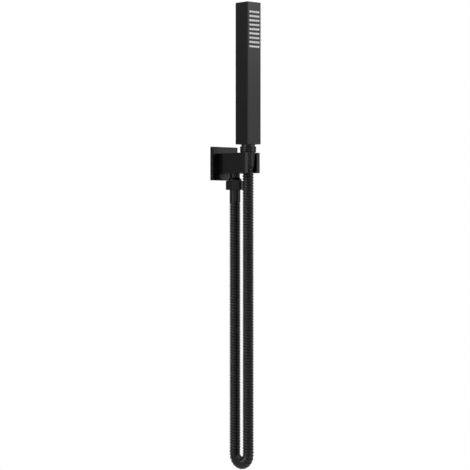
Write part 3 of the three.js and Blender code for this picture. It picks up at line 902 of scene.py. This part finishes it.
# ======== Nozzle mat ========
# One moulded sheet of white silicone behind the handset's face. Its 45 soft nozzles stand a
# little out of the casing's holes, so that scale can be rubbed off them.
CASING_SIDE = 26.8
FACE_OUT = CASING_SIDE / 2  # the front face, from the casing's axis
MAT_BACK, MAT_FRONT = -10.1, -11.3
MAT_LOW, MAT_HIGH = 163.5, 228.5
MAT_SIDE = 22.4
NOZZLE_ROWS, NOZZLE_COLUMNS = 9, 5
ROW_PITCH, COLUMN_PITCH = 6.37, 4.05
LOWEST_ROW = 170.6
NOZZLE_R, TIP_R = 1.65, 1.3
NOZZLE_ROOT = 10.7  # inside the mat
NOZZLE_OUT = 0.9  # how far a nozzle stands out of the face
NOZZLE_TIP = FACE_OUT + NOZZLE_OUT
JET_R, JET_FLARE, JET_DEPTH = 0.35, 0.12, 2.2

# White silicone: soft and slightly translucent, with a dry satin surface from the mould.
white_silicone, shader = new_material(
    "white_silicone", "#f4f5f6", 0.5, IOR=1.41, Subsurface_Weight=0.15, Subsurface_Scale=0.001
)
drift = roughen(white_silicone, shader, grain=0.3, height=0.01, low=0.42, high=0.58)
tint(white_silicone, shader, drift, "#f0f1f2", "#f8f9fa")

nozzle_places = [
    ((column - (NOZZLE_COLUMNS - 1) / 2) * COLUMN_PITCH, LOWEST_ROW + row * ROW_PITCH)
    for row in range(NOZZLE_ROWS)
    for column in range(NOZZLE_COLUMNS)
]


def at_every_nozzle(name, outline, material, sides=24):
    """Copies of a turned shape, on the face's square-on axis, at every nozzle's place."""
    one = lay(turned(name, outline, material, sides), turn_x=90)
    shape = np.array([v.co for v in one.data.vertices]) / MM
    face_list = [list(p.vertices) for p in one.data.polygons]
    bpy.data.objects.remove(one)
    points, faces = [], []
    for x, z in nozzle_places:
        faces += [[i + len(points) for i in face] for face in face_list]
        points += (shape + (x, 0, z)).tolist()
    return new_piece(name, points, faces, material)


def box_piece(name, low, high, material):
    """A rectangular block between two corners."""
    (left, right), (front, back), (foot, top) = zip(low, high)
    corners = [(x, y, z) for z in (foot, top) for y in (front, back) for x in (left, right)]
    faces = [(0, 2, 3, 1), (4, 5, 7, 6), (0, 1, 5, 4), (2, 6, 7, 3), (0, 4, 6, 2), (1, 3, 7, 5)]
    return new_piece(name, corners, faces, material)


nozzle_mat = box_piece(
    "nozzle_mat",
    (-MAT_SIDE / 2, MAT_FRONT, MAT_LOW),
    (MAT_SIDE / 2, MAT_BACK, MAT_HIGH),
    white_silicone,
)
nozzle_outline = [
    (0, NOZZLE_ROOT),
    (NOZZLE_R, NOZZLE_ROOT),
    (NOZZLE_R, NOZZLE_TIP - NOZZLE_OUT, 0.5),
    (TIP_R, NOZZLE_TIP, 0.25),
    (JET_R + JET_FLARE, NOZZLE_TIP, 0.05),
    (JET_R, NOZZLE_TIP - 0.2),
    (JET_R, NOZZLE_TIP - JET_DEPTH),
    (0, NOZZLE_TIP - JET_DEPTH - 0.1),
]
nozzles = at_every_nozzle("nozzles", nozzle_outline, white_silicone)
carve(nozzle_mat, nozzles, operation="UNION")
lay(nozzle_mat, move=(0, -SOCKET_OUT, 0))
smooth(nozzle_mat)
belongs(nozzle_mat, "handset", "nozzle_mat")

# ======== Casing ========
# A square tube moulded in ABS, with 45 holes for the nozzles through its face, painted in the
# same matt black as the metal so that the set matches.
CASING_WALL = 1.8
CASING_CORNER = 1.1
CASING_FOOT, CASING_TOP = 27.3, 236.2
CASING_EDGE = 0.3
CASING_INNER_CORNER = 0.6
FINE_EDGE = 0.15  # the edges where two mouldings meet
HOLE_GAP = 0.15
HOLE_FLARE = 0.15  # how far each hole opens out at the face, less than half of what is between two
HOLE_R = NOZZLE_R + HOLE_GAP
HOLE_START = FACE_OUT - 5  # inside the casing, well behind its wall

# Matt black paint on ABS: near black, dry and even, with the faintest orange peel. Its waves
# are about 0.5 mm wide, too fine to show, so they are drawn at 0.8 mm.
black_paint, shader = new_material("black_paint_on_abs", "#040404", 0.3, IOR=1.4)
drift = roughen(black_paint, shader, grain=0.8, height=0.006, low=0.27, high=0.33)
tint(black_paint, shader, drift, "#030303", "#060606")

inner_side = CASING_SIDE - 2 * CASING_WALL
casing_rings = [
    *edge_rings(CASING_SIDE, CASING_CORNER, CASING_FOOT, FINE_EDGE, up=-1),
    *edge_rings(CASING_SIDE, CASING_CORNER, CASING_TOP, CASING_EDGE, up=1),
    *edge_rings(inner_side, CASING_INNER_CORNER, CASING_TOP, -FINE_EDGE, up=1)[::-1],
    *edge_rings(inner_side, CASING_INNER_CORNER, CASING_FOOT, -FINE_EDGE, up=-1)[::-1],
]
casing = square_bar("casing", casing_rings, black_paint, closed=True)
hole_outline = [
    (0, HOLE_START),
    (HOLE_R, HOLE_START),
    (HOLE_R, FACE_OUT - 0.05),
    (HOLE_R + HOLE_FLARE, FACE_OUT + 0.1),
    (HOLE_R + HOLE_FLARE, FACE_OUT + 2),
    (0, FACE_OUT + 2),
]
carve(casing, at_every_nozzle("holes", hole_outline, black_paint))
lay(casing, move=(0, -SOCKET_OUT, 0))
shade_flats(casing)
belongs(casing, "handset", "casing")

# ======== Top cap ========
# A moulded ABS cap pressed into the casing's top, flush with it, and painted with it. A fine
# square seam shows round it.
CAP_FOOT, CAP_CEILING = 231, 234.4
CAP_SIDE, CAP_CORNER = 22.8, 0.6
CAP_SKIRT = 1.4
CAP_INNER_SIDE, CAP_INNER_CORNER = CAP_SIDE - 2 * CAP_SKIRT, 0.5
cap_rings = [
    (CAP_INNER_SIDE, CAP_INNER_CORNER, CAP_CEILING),
    (CAP_INNER_SIDE, CAP_INNER_CORNER, CAP_FOOT),
    *edge_rings(CAP_SIDE, CAP_CORNER, CAP_FOOT, FINE_EDGE, up=-1),
    *edge_rings(CAP_SIDE, CAP_CORNER, CASING_TOP, FINE_EDGE, up=1),
]
top_cap = square_bar("top_cap", cap_rings, black_paint)
lay(top_cap, move=(0, -SOCKET_OUT, 0))
shade_flats(top_cap)
belongs(top_cap, "handset", "top_cap")

# ======== Inside pieces ========
# What the water runs through: valve, limiter, tube and spray chamber moulded in white acetal, the
# hose's turned brass tails, its steel ferrule at the handset, and rubber seals and washers. They
# are pressed or dropped in place and keep their CAD form.

# Natural acetal: milky white, with a waxy sheen.
white_plastic, shader = new_material("white_acetal", "#e8e6df", 0.4, IOR=1.48)
drift = roughen(white_plastic, shader, grain=0.6, height=0.008, low=0.35, high=0.48)
tint(white_plastic, shader, drift, "#e2dfd6", "#eeece6")

# Bright drawn steel: light grey with fine draw lines.
bright_steel, shader = new_material("bright_steel", "#b9bcc0", 0.28, Metallic=1)
drift = roughen(bright_steel, shader, grain=0.4, height=0.005, low=0.22, high=0.36)
tint(bright_steel, shader, drift, "#a9acb0", "#c6c9cc")

INSIDE = {
    white_plastic: (
        "check_valve_body", "check_valve_poppet", "flow_limiter", "water_tube", "spray_chamber"
    ),
    black_rubber: (
        "nipple_o_ring", "spigot_o_ring", "check_valve_seal", "outlet_washer", "filter_washer",
        "lower_tube_seal", "upper_tube_seal",
    ),
    bright_steel: ("handset_ferrule",),
    brass: ("outlet_tail", "handset_tail"),
}
for material, names in INSIDE.items():
    for name in names:
        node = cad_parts[name]
        node.data.materials.clear()
        node.data.materials.append(material)

# ======== Check valve spring ========
# Stainless wire wound into a small compression spring. It stands in the valve's body, and its
# coils close up as the water pushes the poppet down.
SPRING_R, WIRE_R = 2.4, 0.3
SPRING_FOOT, SPRING_TOP, SPRING_TURNS = -27.1, -20.4, 4.5
SPRING_STEPS, WIRE_SIDES = 160, 10
winding = np.linspace(0, 1, SPRING_STEPS)[:, None]
wound = winding * SPRING_TURNS * 2 * np.pi
spoke = np.linspace(0, 2 * np.pi, WIRE_SIDES, endpoint=False)[None, :]
reach = SPRING_R + WIRE_R * np.cos(spoke)
spring_height = SPRING_FOOT + (SPRING_TOP - SPRING_FOOT) * winding + WIRE_R * np.sin(spoke)
coil = np.stack([reach * np.cos(wound), reach * np.sin(wound) - OUTLET_OUT, spring_height], -1)
first_end = list(range(WIRE_SIDES))
last_end = [SPRING_STEPS * WIRE_SIDES - 1 - i for i in first_end]
spring = new_piece(
    "check_valve_spring",
    coil.reshape(-1, 3),
    [*ring_faces(SPRING_STEPS, WIRE_SIDES), first_end, last_end],
    bright_steel,
)
face_out(spring)
smooth(spring)
belongs(spring, "wall_outlet", "check_valve_spring")
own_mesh(spring)

# ======== Studio ========
# A pale floor under the hanging loop and a white surround that lights the object only faintly.
# Eleven softboxes light it: three on the left, a dim row of three in front, two close by on the
# right with one above them, and two behind.
FLOOR_BELOW = 150
FLOOR_R = 1100
FLOOR_THICK = 5
FLOOR_SIDES = 128
SURROUND_GLOW = 0.3
LIT = Vector((0, -0.04, -0.05))  # the point that every softbox faces, in metres
scene.view_settings.view_transform = "Standard"
scene.view_settings.look = "None"

floor_paint, shader = new_material("pale_floor", "#f4f4f4", 0.9)
drift = roughen(floor_paint, shader, grain=20, height=0.05, low=0.85, high=0.95)
tint(floor_paint, shader, drift, "#f1f1f0", "#f8f8f8")
floor_top = cad_low.z / MM - FLOOR_BELOW
floor_foot = floor_top - FLOOR_THICK
floor = pipe("floor", 0, FLOOR_R, floor_foot, floor_top, 0, floor_paint, FLOOR_SIDES)

# The surround is plain white to the camera and a faint glow to the object.
world = bpy.data.worlds.new("surround")
scene.world = world
world.use_nodes = True
tree = world.node_tree
backdrop = tree.nodes["Background"]
backdrop.inputs["Color"].default_value = 1, 1, 1, 1
glow = tree.nodes.new("ShaderNodeBackground")
glow.inputs["Color"].default_value = 1, 1, 1, 1
glow.inputs["Strength"].default_value = SURROUND_GLOW
seen = tree.nodes.new("ShaderNodeLightPath")
choose = tree.nodes.new("ShaderNodeMixShader")
tree.links.new(seen.outputs["Is Camera Ray"], choose.inputs["Fac"])
tree.links.new(glow.outputs["Background"], choose.inputs[1])
tree.links.new(backdrop.outputs["Background"], choose.inputs[2])
tree.links.new(choose.outputs["Shader"], tree.nodes["World Output"].inputs["Surface"])


def softbox(name, azimuth, elevation, distance, width, tall, brightness):
    """A softbox that faces the object, its size and distance in metres.

    Its azimuth is measured from the camera's direction. Its brightness is that of its surface, so
    it doesn't change with its size.
    """
    light = bpy.data.lights.new(name, "AREA")
    light.shape, light.size, light.size_y = "RECTANGLE", width, tall
    light.energy = brightness * math.pi * width * tall
    lamp = bpy.data.objects.new(name, light)
    turn, rise = AZIMUTH + math.radians(azimuth), math.radians(elevation)
    out = Vector((math.sin(turn) * math.cos(rise), -math.cos(turn) * math.cos(rise), math.sin(rise)))
    lamp.location = LIT + distance * out
    lamp.rotation_euler = out.to_track_quat("Z", "Y").to_euler()
    lamp.visible_camera = False
    scene.collection.objects.link(lamp)


# Each has its azimuth and elevation in degrees, distance, width, height and brightness.
softbox("left_strip", -50, 8, 2, 0.75, 1.3, 2.05)
softbox("left_overhead", -70, 45, 2, 1.6, 1.2, 5.6)
softbox("left_low", -60, -25, 2, 1.4, 0.8, 0.9)
softbox("front_left", -24, 5, 3.3, 1.4, 1.0, 0.3)
softbox("front_fill", 4, 5, 3.3, 1.5, 1.0, 0.85)
softbox("front_right", 30, 5, 3.3, 1.1, 1.0, 0.7)
softbox("right_box", 75, 0, 1, 0.75, 0.5, 1.17)
softbox("right_high", 75, 30, 1, 0.75, 0.5, 2.42)
softbox("right_overhead", 60, 60, 2, 1.2, 1.2, 0.9)
softbox("rear_strip", 130, 10, 2, 0.7, 1.4, 0.5)
softbox("rear_left", -150, 10, 2, 0.7, 1.4, 0.8)
